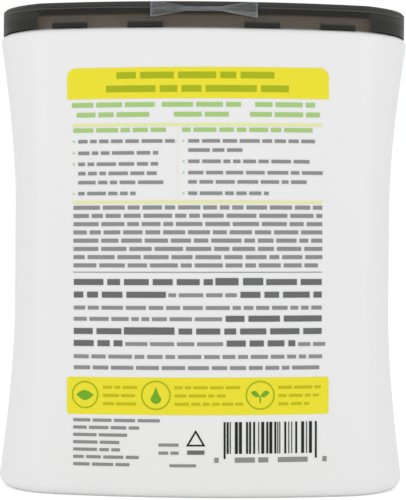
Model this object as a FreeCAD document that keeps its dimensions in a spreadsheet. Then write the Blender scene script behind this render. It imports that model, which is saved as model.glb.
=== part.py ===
"""A flip-top tub for dishwasher tablets.

The tub is a blow-moulded bottle with a wide neck.  Its front and back panels are shallow arcs, its sides are
rounder arcs, and the sides draw in to a waist half way up.  A moulded closure snaps over the neck: a ring
with a skirt and inner lugs, a flap that covers the whole top, a bow-tie film hinge across the back and a
tamper tab in the thumb notch at the front.  Wrapped tablets lie in layers inside.

Frame: millimetres, +Z up, origin at the centre of the base.  The hinge is on the -Y side, the thumb notch on
the +Y side, and +X runs across the width.
"""

import FreeCAD
import Part
import math
import os
import Sketcher

DIMENSIONS = {
    # Plan outline of the lid
    "lid_half_width": 69.9,
    "lid_half_depth": 41.9,
    "panel_radius": 155.0,
    "crease_place": 55.2,
    "lid_corner": 8.0,
    # Bottle
    "panel_proud": 0.6,
    "waist_inset": 4.75,
    "waist_foot": 64.0,
    "waist_top": 96.0,
    "shoulder_proud": 0.6,
    "base_proud": 0.15,
    "flare_ease": 0.4,
    "ledge_height": 156.0,
    "shoulder_round": 2.5,
    "heel_round": 4.0,
    "round_margin": 0.2,
    "tub_wall": 1.3,
    "base_wall": 2.2,
    "base_rim": 9.0,
    "base_recess": 1.0,
    "neck_height": 4.6,
    "neck_wall": 1.4,
    "neck_gap": 0.6,
    "bead_depth": 1.1,
    "bead_height": 1.4,
    "bead_lead": 0.7,
    # Closure ring
    "ring_gap": 0.1,
    "skirt_wall": 1.3,
    "deck_gap": 0.2,
    "deck_wall": 1.4,
    "plug_gap": 0.3,
    "plug_wall": 1.0,
    "plug_length": 2.2,
    "lug_depth": 1.1,
    "lug_height": 2.5,
    "lug_width": 11.9,
    "inner_lug_place": 19.4,
    "outer_lug_place": 44.8,
    "side_lug_angle": 31.0,
    "notch_half_width": 15.0,
    "notch_drop": 4.2,
    "notch_depth": 0.7,
    # Flap
    "parting_gap": 0.1,
    "flap_height": 2.15,
    "flap_wall": 1.3,
    "flap_plate": 1.25,
    "flap_round": 1.0,
    "rib_gap": 0.3,
    "rib_wall": 1.0,
    "rib_length": 2.0,
    "lip_reach": 0.6,
    "lip_height": 1.3,
    "lip_half_width": 14.0,
    # Bow-tie hinge
    "wing_place": 17.8,
    "strap_half_width": 8.5,
    "wing_rise": 2.0,
    "wing_drop": 3.1,
    "strap_rise": 0.6,
    "strap_drop": 1.1,
    "wing_thickness": 1.2,
    # Tamper tab
    "tab_gap": 0.4,
    "tab_top_gap": 0.15,
    "tab_back_gap": 0.1,
    "tab_proud": 0.5,
    "nib_width": 0.9,
    "nib_spacing": 9.0,
    # Wrapped tablets
    "pack_side_gap": 9.5,
    "pack_panel_gap": 8.5,
    "pack_height": 15.4,
    "pack_corner": 6.0,
    "pack_edge": 3.5,
    "pack_gap": 0.4,
}

FLARE_BANDS = 4
# a flat bevel this many times as long as a round's radius touches that round in its middle
BEVEL_SHARE = 2 - math.sqrt(2)
PACK_COLUMNS = 3
PACK_ROWS = 2
PACK_LAYERS = 7


class Size:
    """A length with its value and the sheet formula that gives it, so that arithmetic keeps both together."""

    def __init__(self, value, formula):
        self.value = value
        self.formula = formula

    @staticmethod
    def of(other):
        return other if isinstance(other, Size) else Size(float(other), repr(float(other)))

    def _with(self, other, sign, result):
        return Size(result, f"({self.formula} {sign} {Size.of(other).formula})")

    def __add__(self, other):
        return self._with(other, "+", self.value + Size.of(other).value)

    def __radd__(self, other):
        return Size.of(other) + self

    def __sub__(self, other):
        return self._with(other, "-", self.value - Size.of(other).value)

    def __rsub__(self, other):
        return Size.of(other) - self

    def __mul__(self, other):
        return self._with(other, "*", self.value * Size.of(other).value)

    def __rmul__(self, other):
        return Size.of(other) * self

    def __truediv__(self, other):
        return self._with(other, "/", self.value / Size.of(other).value)

    def __neg__(self):
        return Size.of(0) - self

    def root(self):
        return Size(math.sqrt(self.value), f"sqrt({self.formula})")

    def cosine(self):
        return Size(math.cos(math.radians(self.value)), f"cos({self.formula})")

    def sine(self):
        return Size(math.sin(math.radians(self.value)), f"sin({self.formula})")

    def at_least(self, other):
        other = Size.of(other)
        return Size(max(self.value, other.value), f"max({self.formula}; {other.formula})")


doc = FreeCAD.newDocument("tablet_tub")
sheet = doc.addObject("Spreadsheet::Sheet", "Dims")


def fill_sheet():
    """Writes each driving dimension into the sheet with its name beside it."""
    for row, (name, number) in enumerate(DIMENSIONS.items(), start=1):
        sheet.set(f"A{row}", name)
        sheet.set(f"B{row}", str(number))
        sheet.setAlias(f"B{row}", name)
    doc.recompute()


fill_sheet()


def size(name):
    return Size(float(sheet.get(name)), f"Dims.{name}")


def bind(thing, prop, amount):
    """Binds a property to the sheet through the amount's formula."""
    thing.setExpression(prop, Size.of(amount).formula)


def new_body(label):
    body = doc.addObject("PartDesign::Body", label)
    body.Label = label
    return body


def origin_plane(body, role):
    return next(item for item in body.Origin.OriginFeatures if item.Role == role)


def sketch_on(body, name, role, height=None):
    """A sketch on one of the body's own planes, raised along the plane's normal by height."""
    sketch = body.newObject("Sketcher::SketchObject", name)
    sketch.AttachmentSupport = (origin_plane(body, role), "")
    sketch.MapMode = "FlatFace"
    if height is not None:
        bind(sketch, "AttachmentOffset.Base.z", height)
    return sketch


def named(sketch, constraint, amount=None):
    """Adds a constraint, bound to the sheet where it has an amount."""
    index = sketch.addConstraint(constraint)
    if amount is not None:
        bind(sketch, f"Constraints[{index}]", amount)
    return index


class Outline:
    """The plan outline: two panel arcs and two side arcs, with a tangent corner arc between each two if it has one.

    The side arc runs through (half width, 0) and through the crease, where it meets the panel arc.  An inset
    outline with corners keeps the arcs' centres and takes the inset off every radius.
    """

    def __init__(self, half_width, half_depth, panel_radius, crease, corner=None):
        self.corner = corner
        self.crease = crease
        self.panel_radius = panel_radius
        self.panel_centre = panel_radius - half_depth
        rise = (panel_radius * panel_radius - crease * crease).root() - self.panel_centre
        bulge = half_width - crease
        self.side_radius = (bulge * bulge + rise * rise) / (2 * bulge)
        self.side_centre = half_width - self.side_radius

    def add_to(self, sketch, inset=0.0):
        panel, side = self.panel_radius - inset, self.side_radius - inset
        radii = [panel, side]
        first = sketch.GeometryCount
        if self.corner is None:
            join, step = "Coincident", 1
            arcs = arcs_with_creases(self)
        else:
            join, step = "Tangent", 2
            radii.append((self.corner - inset).at_least(2.0))
            arcs = arcs_with_corners(self, *[radius.value for radius in radii])
        for arc in arcs:
            sketch.addGeometry(arc)
        count = 4 * step
        for here in range(count):
            named(sketch, Sketcher.Constraint(join, first + here, 2, first + (here + 1) % count, 1))
        if step == 2:
            named(sketch, Sketcher.Constraint("Radius", first + 1, radii[2].value), radii[2])
            for other in (3, 5, 7):
                named(sketch, Sketcher.Constraint("Equal", first + 1, first + other))
        self._place(sketch, [first + step * quarter for quarter in range(4)], panel, side)

    def _place(self, sketch, arcs, panel, side):
        """Sets the centres and radii of the side and panel arcs."""
        right, top, left, bottom = arcs
        x_axis, y_axis, centre = -1, -2, 3
        for arc, axis in ((right, x_axis), (left, x_axis), (top, y_axis), (bottom, y_axis)):
            named(sketch, Sketcher.Constraint("PointOnObject", arc, centre, axis))
        named(sketch, Sketcher.Constraint("Radius", right, side.value), side)
        named(sketch, Sketcher.Constraint("Radius", top, panel.value), panel)
        named(sketch, Sketcher.Constraint("Equal", right, left))
        named(sketch, Sketcher.Constraint("Equal", top, bottom))
        across, along = self.side_centre, self.panel_centre
        named(sketch, Sketcher.Constraint("DistanceX", -1, 1, right, centre, across.value), across)
        named(sketch, Sketcher.Constraint("DistanceX", left, centre, -1, 1, across.value), across)
        named(sketch, Sketcher.Constraint("DistanceY", top, centre, -1, 1, along.value), along)
        named(sketch, Sketcher.Constraint("DistanceY", -1, 1, bottom, centre, along.value), along)


def corner_centre(panel, side, corner, panel_centre, side_centre):
    """Centre of the corner arc in the first quadrant: inside both the panel arc and the side arc by its radius."""
    reach_panel, reach_side = panel - corner, side - corner
    ax, ay, bx, by = 0.0, -panel_centre, side_centre, 0.0
    span = math.hypot(bx - ax, by - ay)
    along = (reach_panel**2 - reach_side**2 + span**2) / (2 * span)
    off = math.sqrt(reach_panel**2 - along**2)
    ux, uy = (bx - ax) / span, (by - ay) / span
    return ax + along * ux + off * uy, ay + along * uy - off * ux


def arcs_between(spans):
    """Arcs from their centre, radius and two angles."""
    up = FreeCAD.Vector(0, 0, 1)
    for x, y, radius, start, end in spans:
        circle = Part.Circle(FreeCAD.Vector(x, y, 0), up, radius)
        yield Part.ArcOfCircle(circle, start, end)


def arcs_with_corners(outline, panel, side, corner):
    """Eight arcs, anticlockwise from the right-hand side."""
    panel_centre, side_centre = outline.panel_centre.value, outline.side_centre.value
    cx, cy = corner_centre(panel, side, corner, panel_centre, side_centre)
    to_side = math.atan2(cy, cx - side_centre)
    to_panel = math.atan2(cy + panel_centre, cx)
    half, full = math.pi, 2 * math.pi
    return arcs_between(
        (
            (side_centre, 0.0, side, -to_side, to_side),
            (cx, cy, corner, to_side, to_panel),
            (0.0, -panel_centre, panel, to_panel, half - to_panel),
            (-cx, cy, corner, half - to_panel, half - to_side),
            (-side_centre, 0.0, side, half - to_side, half + to_side),
            (-cx, -cy, corner, half + to_side, half + to_panel),
            (0.0, panel_centre, panel, half + to_panel, full - to_panel),
            (cx, -cy, corner, full - to_panel, full - to_side),
        )
    )


def arcs_with_creases(outline):
    """Four arcs that meet at the creases, anticlockwise from the right-hand side."""
    panel, side, crease = outline.panel_radius.value, outline.side_radius.value, outline.crease.value
    panel_centre, side_centre = outline.panel_centre.value, outline.side_centre.value
    rise = math.sqrt(panel**2 - crease**2) - panel_centre
    to_side = math.atan2(rise, crease - side_centre)
    to_panel = math.atan2(rise + panel_centre, crease)
    half, full = math.pi, 2 * math.pi
    return arcs_between(
        (
            (side_centre, 0.0, side, -to_side, to_side),
            (0.0, -panel_centre, panel, to_panel, half - to_panel),
            (-side_centre, 0.0, side, half - to_side, half + to_side),
            (0.0, panel_centre, panel, half + to_panel, full - to_panel),
        )
    )


def add_lobe(sketch, outline, way):
    """The part of the outline beyond the crease on one side: the side arc closed by its chord."""
    first, way_right = sketch.GeometryCount, way > 0
    rise = math.sqrt(outline.panel_radius.value**2 - outline.crease.value**2) - outline.panel_centre.value
    turn = math.atan2(rise, outline.crease.value - outline.side_centre.value)
    middle = 0.0 if way_right else math.pi
    centre = FreeCAD.Vector(way * outline.side_centre.value, 0, 0)
    circle = Part.Circle(centre, FreeCAD.Vector(0, 0, 1), outline.side_radius.value)
    sketch.addGeometry(Part.ArcOfCircle(circle, middle - turn, middle + turn))
    chord_x = way * outline.crease.value
    ends = [FreeCAD.Vector(chord_x, way * rise * up, 0) for up in (1, -1)]
    sketch.addGeometry(Part.LineSegment(*ends))
    named(sketch, Sketcher.Constraint("Coincident", first, 2, first + 1, 1))
    named(sketch, Sketcher.Constraint("Coincident", first + 1, 2, first, 1))
    named(sketch, Sketcher.Constraint("PointOnObject", first, 3, -1))
    named(sketch, Sketcher.Constraint("Vertical", first + 1))
    named(sketch, Sketcher.Constraint("Radius", first, outline.side_radius.value), outline.side_radius)
    place_point(sketch, "DistanceX", first + 1, way * outline.crease)
    across = outline.side_centre
    nodes = (-1, 1, first, 3) if way_right else (first, 3, -1, 1)
    named(sketch, Sketcher.Constraint("DistanceX", *nodes, across.value), across)


def add_rectangle(sketch, low_x, high_x, low_y, high_y):
    """A rectangle whose four sides are set from the sketch's origin."""
    add_polygon(sketch, [(low_x, low_y), (high_x, low_y), (high_x, high_y), (low_x, high_y)])


def add_polygon(sketch, corners):
    """A closed polygon whose corners are each set from the sketch's origin."""
    first = sketch.GeometryCount
    corners = [(Size.of(x), Size.of(y)) for x, y in corners]
    points = [FreeCAD.Vector(x.value, y.value, 0) for x, y in corners]
    for start, end in zip(points, points[1:] + points[:1]):
        sketch.addGeometry(Part.LineSegment(start, end))
    count = len(points)
    for step in range(count):
        here, after = first + step, first + (step + 1) % count
        named(sketch, Sketcher.Constraint("Coincident", here, 2, after, 1))
    for step, (x, y) in enumerate(corners):
        for kind, amount in (("DistanceX", x), ("DistanceY", y)):
            place_point(sketch, kind, first + step, amount)


def place_point(sketch, kind, line, amount):
    """Sets a line's start from the origin along one axis; a sketch wants the distance positive."""
    if abs(amount.value) < 1e-9:
        axis = -2 if kind == "DistanceX" else -1
        named(sketch, Sketcher.Constraint("PointOnObject", line, 1, axis))
    elif amount.value > 0:
        named(sketch, Sketcher.Constraint(kind, -1, 1, line, 1, amount.value), amount)
    else:
        named(sketch, Sketcher.Constraint(kind, line, 1, -1, 1, -amount.value), -amount)


def add_arc_strip(sketch, low, high, outer_inset, inner_inset, front):
    """A strip of a panel's wall between two insets and between the places low and high along the width."""
    first = sketch.GeometryCount
    outer, side_end, inner, side_start = first, first + 1, first + 2, first + 3
    way = 1 if front else -1
    low, high = Size.of(low), Size.of(high)
    start, end = (high, low) if front else (low, high)
    pitch = lid_outline.panel_centre
    centre = FreeCAD.Vector(0, -way * pitch.value, 0)
    radii = [lid_outline.panel_radius - inset for inset in (outer_inset, inner_inset)]

    def point(place, radius):
        rise = math.sqrt(radius.value**2 - place.value**2)
        return FreeCAD.Vector(place.value, way * (rise - pitch.value), 0)

    def arc(radius):
        begin, finish = point(start, radius) - centre, point(end, radius) - centre
        circle = Part.Circle(centre, FreeCAD.Vector(0, 0, 1), radius.value)
        return Part.ArcOfCircle(circle, math.atan2(begin.y, begin.x), math.atan2(finish.y, finish.x))

    sketch.addGeometry(arc(radii[0]))
    sketch.addGeometry(Part.LineSegment(point(end, radii[0]), point(end, radii[1])))
    sketch.addGeometry(arc(radii[1]))
    sketch.addGeometry(Part.LineSegment(point(start, radii[1]), point(start, radii[0])))
    for here, here_end, after, after_end in (
        (outer, 2, side_end, 1), (side_end, 2, inner, 2), (inner, 1, side_start, 1), (side_start, 2, outer, 1)
    ):
        named(sketch, Sketcher.Constraint("Coincident", here, here_end, after, after_end))
    named(sketch, Sketcher.Constraint("Vertical", side_end))
    named(sketch, Sketcher.Constraint("Vertical", side_start))
    place_point(sketch, "DistanceX", side_end, end)
    place_point(sketch, "DistanceX", side_start, start)
    named(sketch, Sketcher.Constraint("PointOnObject", outer, 3, -2))
    named(sketch, Sketcher.Constraint("Coincident", inner, 3, outer, 3))
    ends = (outer, 3, -1, 1) if front else (-1, 1, outer, 3)
    named(sketch, Sketcher.Constraint("DistanceY", *ends, pitch.value), pitch)
    named(sketch, Sketcher.Constraint("Radius", outer, radii[0].value), radii[0])
    named(sketch, Sketcher.Constraint("Radius", inner, radii[1].value), radii[1])


def add_centred_strips(sketch, places, width, outer_inset, inner_inset, front):
    """Several strips of one width, each centred on its place."""
    for place in places:
        add_arc_strip(sketch, place - width / 2, place + width / 2, outer_inset, inner_inset, front)


def pad(body, name, sketch, length):
    feature = body.newObject("PartDesign::Pad", name)
    feature.Profile = sketch
    bind(feature, "Length", length)
    sketch.Visibility = False
    doc.recompute()
    return feature


def pocket(body, name, sketch, length, upwards=False):
    feature = body.newObject("PartDesign::Pocket", name)
    feature.Profile = sketch
    feature.Reversed = upwards
    bind(feature, "Length", length)
    sketch.Visibility = False
    doc.recompute()
    return feature


def ring_pad(body, name, outline, outer_inset, inner_inset, foot, height):
    """A wall that follows the outline between two insets, from foot upwards."""
    sketch = sketch_on(body, f"{name}_plan", "XY_Plane", foot)
    outline.add_to(sketch, outer_inset)
    outline.add_to(sketch, inner_inset)
    return pad(body, name, sketch, height)


def edges_where(feature, test):
    """Names of the feature's edges that pass the test."""
    edges = enumerate(feature.Shape.Edges, start=1)
    return [f"Edge{number}" for number, edge in edges if test(edge)]


def flat_at(height, near=1e-3):
    """A test for edges that lie in the plane at that height."""

    def test(edge):
        box = edge.BoundBox
        return abs(box.ZMin - height) < near and abs(box.ZMax - height) < near

    return test


def fillet(body, name, base, edges, radius):
    feature = body.newObject("PartDesign::Fillet", name)
    feature.Base = (base, edges)
    bind(feature, "Radius", radius)
    doc.recompute()
    return feature


def chamfer(body, name, base, edges, reach):
    feature = body.newObject("PartDesign::Chamfer", name)
    feature.Base = (base, edges)
    bind(feature, "Size", reach)
    doc.recompute()
    return feature


# Sizes that several pieces share
lid_outline = Outline(
    size("lid_half_width"), size("lid_half_depth"), size("panel_radius"), size("crease_place"), size("lid_corner")
)
ledge = size("ledge_height")
heel_top = size("heel_round") + size("round_margin")
shoulder_foot = ledge - size("shoulder_round") - size("round_margin")
neck_inset = size("skirt_wall") + size("lug_depth") + size("neck_gap")
neck_top = ledge + size("neck_height")
mouth_inset = neck_inset + size("neck_wall")
ring_foot = ledge + size("ring_gap")
deck_under = neck_top + size("deck_gap")
ring_top = deck_under + size("deck_wall")
opening_inset = mouth_inset + size("plug_gap") + size("plug_wall")
flap_foot = ring_top + size("parting_gap")
flap_top = flap_foot + size("flap_height")
notch_foot = ring_top - size("notch_drop")
pack_reach_x = size("lid_half_width") - size("waist_inset") - size("tub_wall") - size("pack_side_gap")
pack_reach_y = size("lid_half_depth") + size("panel_proud") - size("tub_wall") - size("pack_panel_gap")


def tub_half_width(height):
    """Half width of the tub's side at a height: an upright waist that flares out above and below.

    With u from 0 at the waist to 1 at the end of the flare, the flare grows as u^2 (1 + ease - ease u).
    """
    waist = size("lid_half_width") - size("waist_inset")
    if height.value > size("waist_top").value:
        along = (height - size("waist_top")) / (shoulder_foot - size("waist_top"))
        flare = size("waist_inset") + size("shoulder_proud")
    elif height.value < size("waist_foot").value:
        along = (size("waist_foot") - height) / (size("waist_foot") - heel_top)
        flare = size("waist_inset") + size("base_proud")
    else:
        return waist
    ease = size("flare_ease")
    return waist + flare * along * along * (1 + ease - ease * along)


def tub_outline(height, inset=0.0):
    """The tub's outline at a height.  Its creases stay upright, so the panels are plain cylinders."""
    half_depth = size("lid_half_depth") + size("panel_proud")
    return Outline(
        tub_half_width(height) - inset, half_depth - inset, size("panel_radius") - inset,
        size("crease_place") - Size.of(inset) / 2,
    )


def tub_lobes(body, name, kind, heights, inset):
    """Smooth lofts for both sides, from the crease outwards, through the outline at each height."""
    for side, way in (("right", 1), ("left", -1)):
        sketches = []
        for number, height in enumerate(heights):
            sketch = sketch_on(body, f"{name}_{side}_{number}", "XY_Plane", height)
            add_lobe(sketch, tub_outline(height, inset), way)
            sketch.Visibility = False
            sketches.append(sketch)
        loft = body.newObject(f"PartDesign::{kind}Loft", f"{name}_{side}")
        loft.Profile = sketches[0]
        loft.Sections = sketches[1:]
        loft.Ruled = True
        doc.recompute()


def flare_heights(start, end):
    """Heights of a flare's sections, evenly spaced."""
    return [start + (end - start) * (band / FLARE_BANDS) for band in range(FLARE_BANDS + 1)]


def make_tub():
    """The bottle: an upright waist with flared sides, rounded at heel and shoulder, and a beaded neck."""
    body = new_body("tub")
    nought = Size.of(0)
    low, high = size("waist_foot"), size("waist_top")
    lower, upper = flare_heights(heel_top, low), flare_heights(high, shoulder_foot)

    core = sketch_on(body, "core_plan", "XY_Plane", heel_top)
    tub_outline(low).add_to(core)
    pad(body, "core", core, shoulder_foot - heel_top)
    tub_lobes(body, "lower_flare", "Additive", lower, nought)
    tub_lobes(body, "upper_flare", "Additive", upper, nought)
    foot = sketch_on(body, "foot_plan", "XY_Plane", nought)
    tub_outline(heel_top).add_to(foot)
    foot_block = pad(body, "foot", foot, heel_top)
    fillet(body, "heel", foot_block, edges_where(foot_block, flat_at(0.0)), size("heel_round"))
    top = sketch_on(body, "shoulder_plan", "XY_Plane", shoulder_foot)
    tub_outline(shoulder_foot).add_to(top)
    top_block = pad(body, "shoulder_block", top, ledge - shoulder_foot)
    rim = edges_where(top_block, flat_at(ledge.value))
    fillet(body, "shoulder", top_block, rim, size("shoulder_round"))

    neck = sketch_on(body, "neck_plan", "XY_Plane", ledge)
    lid_outline.add_to(neck, neck_inset)
    pad(body, "neck", neck, size("neck_height"))
    bead_plan = sketch_on(body, "bead_plan", "XY_Plane", neck_top - size("bead_height"))
    lid_outline.add_to(bead_plan, neck_inset - size("bead_depth"))
    bead = pad(body, "bead", bead_plan, size("bead_height"))
    chamfer(body, "bead_edge", bead, edges_where(bead, flat_at(neck_top.value)), size("bead_lead"))

    floor, wall = size("base_wall"), size("tub_wall")
    sump = sketch_on(body, "sump_plan", "XY_Plane", floor)
    tub_outline(heel_top, wall).add_to(sump)
    pocket(body, "sump", sump, heel_top - floor, upwards=True)
    inside = sketch_on(body, "inside_plan", "XY_Plane", heel_top)
    tub_outline(low, wall).add_to(inside)
    pocket(body, "inside", inside, shoulder_foot - heel_top, upwards=True)
    tub_lobes(body, "lower_inside", "Subtractive", lower, wall)
    tub_lobes(body, "upper_inside", "Subtractive", upper, wall)
    chest = sketch_on(body, "chest_plan", "XY_Plane", shoulder_foot)
    tub_outline(shoulder_foot, wall).add_to(chest)
    pocket(body, "chest", chest, ledge - wall - shoulder_foot, upwards=True)

    mouth = sketch_on(body, "mouth_plan", "XY_Plane", neck_top)
    lid_outline.add_to(mouth, mouth_inset)
    pocket(body, "mouth", mouth, size("neck_height") + wall + 1)
    base = sketch_on(body, "base_plan", "XY_Plane", nought)
    tub_outline(heel_top, size("base_rim")).add_to(base)
    pocket(body, "base_panel", base, size("base_recess"), upwards=True)
    return body


def make_ring():
    """The closure ring: skirt, deck with the dispensing opening, plug wall, snap lugs and the lower hinge wings."""
    body = new_body("lid_ring")
    nought = Size.of(0)
    ring_pad(body, "skirt", lid_outline, nought, size("skirt_wall"), ring_foot, ring_top - ring_foot)
    ring_pad(body, "deck", lid_outline, nought, opening_inset, deck_under, size("deck_wall"))
    plug_foot = deck_under - size("plug_length")
    plug_height = size("plug_length") + size("deck_wall")
    ring_pad(body, "plug", lid_outline, opening_inset - size("plug_wall"), opening_inset, plug_foot, plug_height)

    half_wall, lug_inset = size("skirt_wall") / 2, size("skirt_wall") + size("lug_depth")
    places = [way * size(place) for way in (-1, 1) for place in ("outer_lug_place", "inner_lug_place")]
    for name, front in (("back_lugs", False), ("front_lugs", True)):
        sketch = sketch_on(body, f"{name}_plan", "XY_Plane", ring_foot)
        add_centred_strips(sketch, places, size("lug_width"), half_wall, lug_inset, front)
        pad(body, name, sketch, size("lug_height"))
    side = sketch_on(body, "side_lugs_plan", "XY_Plane", ring_foot)
    for way_x in (1, -1):
        for way_y in (1, -1):
            add_polygon(side, [(way_x * x, way_y * y) for x, y in side_lug(half_wall, lug_inset)])
    pad(body, "side_lugs", side, size("lug_height"))

    notch = sketch_on(body, "notch_plan", "XY_Plane", notch_foot)
    half = size("notch_half_width")
    add_arc_strip(notch, -half, half, Size.of(-1.0), size("notch_depth"), True)
    pocket(body, "thumb_notch", notch, size("notch_drop") + 1, upwards=True)
    hinge_wings(body, "lower_wings", ring_top, -size("wing_drop"), -size("strap_drop"))
    return body


def side_lug(outer_inset, inner_inset):
    """Corners of a straight lug on the side arc, in the quadrant where x and y are positive."""
    turn, half = size("side_lug_angle"), size("lug_width") / 2
    outer, inner = lid_outline.side_radius - outer_inset, lid_outline.side_radius - inner_inset
    corners = []
    for radius, across in ((outer, -half), (outer, half), (inner, half), (inner, -half)):
        x = lid_outline.side_centre + radius * turn.cosine() - across * turn.sine()
        y = radius * turn.sine() + across * turn.cosine()
        corners.append((x, y))
    return corners


def hinge_wings(body, name, parting, end_reach, strap_reach):
    """Half of the bow-tie, as a flat plate on the back wall: deep at both ends and shallow along the strap."""
    end, strap = size("wing_place"), size("strap_half_width")
    sketch = sketch_on(body, f"{name}_face", "XZ_Plane", size("lid_half_depth"))
    low, shallow = parting + end_reach, parting + strap_reach
    add_polygon(
        sketch,
        [(-end, parting), (-end, low), (-strap, shallow), (strap, shallow), (end, low), (end, parting)],
    )
    feature = pad(body, name, sketch, size("wing_thickness"))
    feature.Reversed = True
    return feature


def make_flap():
    """The flap: a shallow cover with a rounded rim, a sealing rib, a thumb lip and the upper hinge wings."""
    body = new_body("flap")
    nought = Size.of(0)
    plan = sketch_on(body, "cover_plan", "XY_Plane", flap_foot)
    lid_outline.add_to(plan, nought)
    cover = pad(body, "cover", plan, size("flap_height"))
    rim = edges_where(cover, flat_at(flap_top.value))
    chamfer(body, "cover_round", cover, rim, size("flap_round") * BEVEL_SHARE)

    under = sketch_on(body, "under_plan", "XY_Plane", flap_foot)
    lid_outline.add_to(under, size("flap_wall"))
    pocket(body, "underside", under, size("flap_height") - size("flap_plate"), upwards=True)

    rib_outer = opening_inset + size("rib_gap")
    rib_foot = ring_top - size("rib_length")
    rib_height = flap_top - size("flap_plate") - rib_foot
    ring_pad(body, "seal_rib", lid_outline, rib_outer, rib_outer + size("rib_wall"), rib_foot, rib_height)

    lip = sketch_on(body, "lip_plan", "XY_Plane", flap_foot)
    half = size("lip_half_width")
    add_arc_strip(lip, -half, half, -size("lip_reach"), size("flap_wall") / 2, True)
    pad(body, "thumb_lip", lip, size("lip_height"))
    hinge_wings(body, "upper_wings", flap_foot, size("wing_rise"), size("strap_rise"))
    return body


def make_tab():
    """The tamper tab: a strip in the thumb notch, held to the ring by three nibs that break when it is pulled."""
    body = new_body("tear_tab")
    strip = sketch_on(body, "strip_plan", "XY_Plane", notch_foot + size("tab_gap"))
    half = size("notch_half_width") - size("tab_gap")
    back = size("notch_depth") - size("tab_back_gap")
    add_arc_strip(strip, -half, half, -size("tab_proud"), back, True)
    pad(body, "strip", strip, size("notch_drop") - size("tab_gap") - size("tab_top_gap"))
    nibs = sketch_on(body, "nib_plan", "XY_Plane", notch_foot)
    places = [way * size("nib_spacing") for way in (-1, 0, 1)]
    add_centred_strips(nibs, places, size("nib_width"), Size.of(0), back, True)
    pad(body, "nibs", nibs, size("tab_gap") * 1.5)
    return body


def make_pack(number, column, row, layer):
    """A wrapped tablet: a cushion with cut corners and bevelled faces, in its place in the stack."""
    body = new_body(f"dish_pack_{number:02d}")
    gap, height = size("pack_gap"), size("pack_height")
    length = 2 * pack_reach_x / PACK_COLUMNS
    width = 2 * pack_reach_y / PACK_ROWS
    sketch = sketch_on(body, f"pack_plan_{number:02d}", "XY_Plane", size("base_wall") + (height + gap) * layer)
    bind(sketch, "AttachmentOffset.Base.x", length * (column - (PACK_COLUMNS - 1) / 2))
    bind(sketch, "AttachmentOffset.Base.y", width * (row - (PACK_ROWS - 1) / 2))
    half_x, half_y, cut = (length - gap) / 2, (width - gap) / 2, size("pack_corner")
    add_polygon(
        sketch,
        [
            (half_x, -half_y + cut), (half_x, half_y - cut),
            (half_x - cut, half_y), (-half_x + cut, half_y),
            (-half_x, half_y - cut), (-half_x, -half_y + cut),
            (-half_x + cut, -half_y), (half_x - cut, -half_y),
        ],
    )
    block = pad(body, f"pack_block_{number:02d}", sketch, height)
    bottom = sketch.AttachmentOffset.Base.z
    ends = (flat_at(bottom), flat_at(bottom + height.value))
    rims = edges_where(block, lambda edge: any(test(edge) for test in ends))
    chamfer(body, f"pack_bevel_{number:02d}", block, rims, size("pack_edge"))
    return body


def make_packs():
    """All the tablets, layer by layer from the bottom."""
    number = 0
    for layer in range(PACK_LAYERS):
        for row in range(PACK_ROWS):
            for column in range(PACK_COLUMNS):
                number += 1
                yield make_pack(number, column, row, layer)


def check(bodies):
    """Stops if any object failed or any piece isn't one sound solid, so that nothing half made is written."""
    failed = [item.Name for item in doc.Objects if {"Invalid", "Error"} & set(item.State)]
    if failed:
        raise RuntimeError(f"these objects failed: {failed}")
    for body in bodies:
        shape = body.Shape
        if shape.isNull() or not shape.isValid() or len(shape.Solids) != 1 or shape.Volume <= 0:
            raise RuntimeError(f"{body.Label} isn't one sound solid")


pieces = [make_tub(), make_ring(), make_flap(), make_tab(), *make_packs()]
doc.recompute()
check(pieces)
os.makedirs("parts", exist_ok=True)
for piece in pieces:
    piece.Shape.exportStep(f"parts/{piece.Label}.step")
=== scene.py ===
"""Looks of a flip-top tub for dishwasher tablets, laid out as an add-on and run as a script.

The bottle, the wrapped tablets, the hinge film and the printed panel are surfaces worked out here.
The closure keeps its construction solids and gets a smoky, slightly frosted plastic.
"""

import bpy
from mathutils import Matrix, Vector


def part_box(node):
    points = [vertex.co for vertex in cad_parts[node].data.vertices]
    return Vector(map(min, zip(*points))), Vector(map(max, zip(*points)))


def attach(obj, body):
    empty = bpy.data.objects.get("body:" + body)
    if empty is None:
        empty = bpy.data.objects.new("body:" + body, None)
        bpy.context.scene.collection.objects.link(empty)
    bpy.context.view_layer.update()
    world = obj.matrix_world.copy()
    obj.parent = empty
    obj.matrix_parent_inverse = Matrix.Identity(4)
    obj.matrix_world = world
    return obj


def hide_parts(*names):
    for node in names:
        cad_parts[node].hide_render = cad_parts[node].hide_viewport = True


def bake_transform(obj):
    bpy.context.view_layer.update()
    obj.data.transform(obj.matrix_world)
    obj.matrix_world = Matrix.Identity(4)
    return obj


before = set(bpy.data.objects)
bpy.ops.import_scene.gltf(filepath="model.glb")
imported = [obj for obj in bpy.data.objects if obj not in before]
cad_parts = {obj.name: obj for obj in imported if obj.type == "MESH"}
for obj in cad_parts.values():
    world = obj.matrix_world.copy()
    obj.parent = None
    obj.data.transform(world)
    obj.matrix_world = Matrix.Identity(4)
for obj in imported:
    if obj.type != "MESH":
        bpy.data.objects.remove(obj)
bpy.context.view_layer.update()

import math

import bpy
import numpy as np
from bpy.props import FloatProperty, FloatVectorProperty, IntProperty, PointerProperty
from mathutils import Euler

bl_info = {
    "name": "Tablet Tub",
    "version": (1, 0, 0),
    "blender": (4, 5, 0),
    "location": "View3D > Sidebar > Tablet Tub",
    "description": "Moulds the tub, tints its closure, wraps its tablets and prints its back panel",
    "category": "Object",
}

MM = 0.001
BOTTLE, FLAP = "container", "flap"
PACK_NODES = sorted(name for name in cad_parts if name.startswith("dish_pack_"))


# Settings

def length(name, text, default, **more):
    """A length in metres, shown in the units of the scene."""
    return FloatProperty(
        name=name, description=text, default=default, subtype="DISTANCE", unit="LENGTH", **more)


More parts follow.
